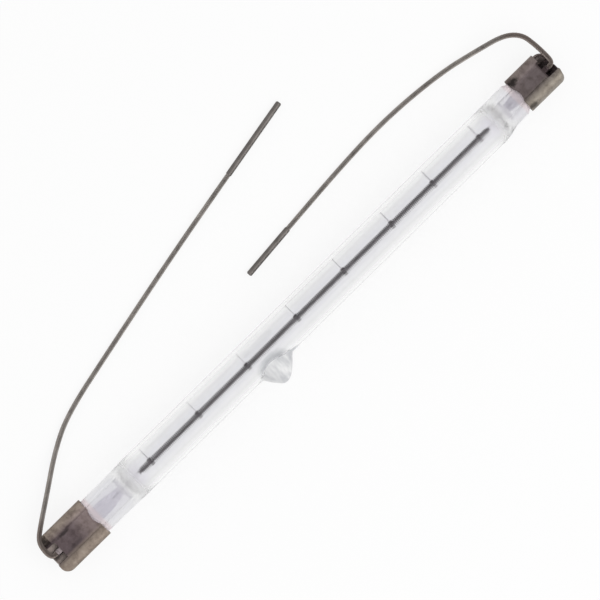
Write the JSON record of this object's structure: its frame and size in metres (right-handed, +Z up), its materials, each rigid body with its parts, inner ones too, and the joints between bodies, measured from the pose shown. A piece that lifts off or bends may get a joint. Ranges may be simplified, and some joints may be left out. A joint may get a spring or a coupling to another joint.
{
  "type": "halogen heater bulb",
  "caption": "Quartz tube heater lamp with a coiled filament on wire supports, flat pinched ends in formed metal caps, a sealed exhaust tip and a bare stranded lead at each end.",
  "frame": {"origin": "on the quartz tube's axis, midway between the outer end faces of the two end caps", "axes": "+X along the tube towards the end with the shorter cap, +Y towards the side on which both leads lie, +Z up; the lamp lies at rest on a surface at z = -0.006 m"},
  "size_m": [0.2004, 0.0588, 0.012],
  "materials": {
    "quartz": "clear polished quartz",
    "filament_wire": "dull dark tungsten",
    "support_wire": "drawn wire",
    "cap_sheet": "dull formed sheet, slightly stained",
    "seal_foil": "bright thin foil",
    "pin": "drawn wire",
    "crimp": "plated, pressed flat",
    "lead_strands": "bare plated strands",
    "lead_sleeve": "dull plated"
  },
  "bodies": {
    "root": {"quartz_tube": "quartz", "filament": "filament_wire", "filament_support_1": "support_wire", "filament_support_2": "support_wire", "filament_support_3": "support_wire", "filament_support_4": "support_wire", "filament_support_5": "support_wire", "filament_support_6": "support_wire", "filament_support_7": "support_wire", "filament_support_8": "support_wire", "end_cap_left": "cap_sheet", "seal_foil_left": "seal_foil", "outer_pin_left": "pin", "lead_crimp_left": "crimp", "lead_wire_left": "lead_strands", "lead_end_left": "lead_sleeve", "end_cap_right": "cap_sheet", "seal_foil_right": "seal_foil", "outer_pin_right": "pin", "lead_crimp_right": "crimp", "lead_wire_right": "lead_strands", "lead_end_right": "lead_sleeve"}
  },
  "joints": []
}
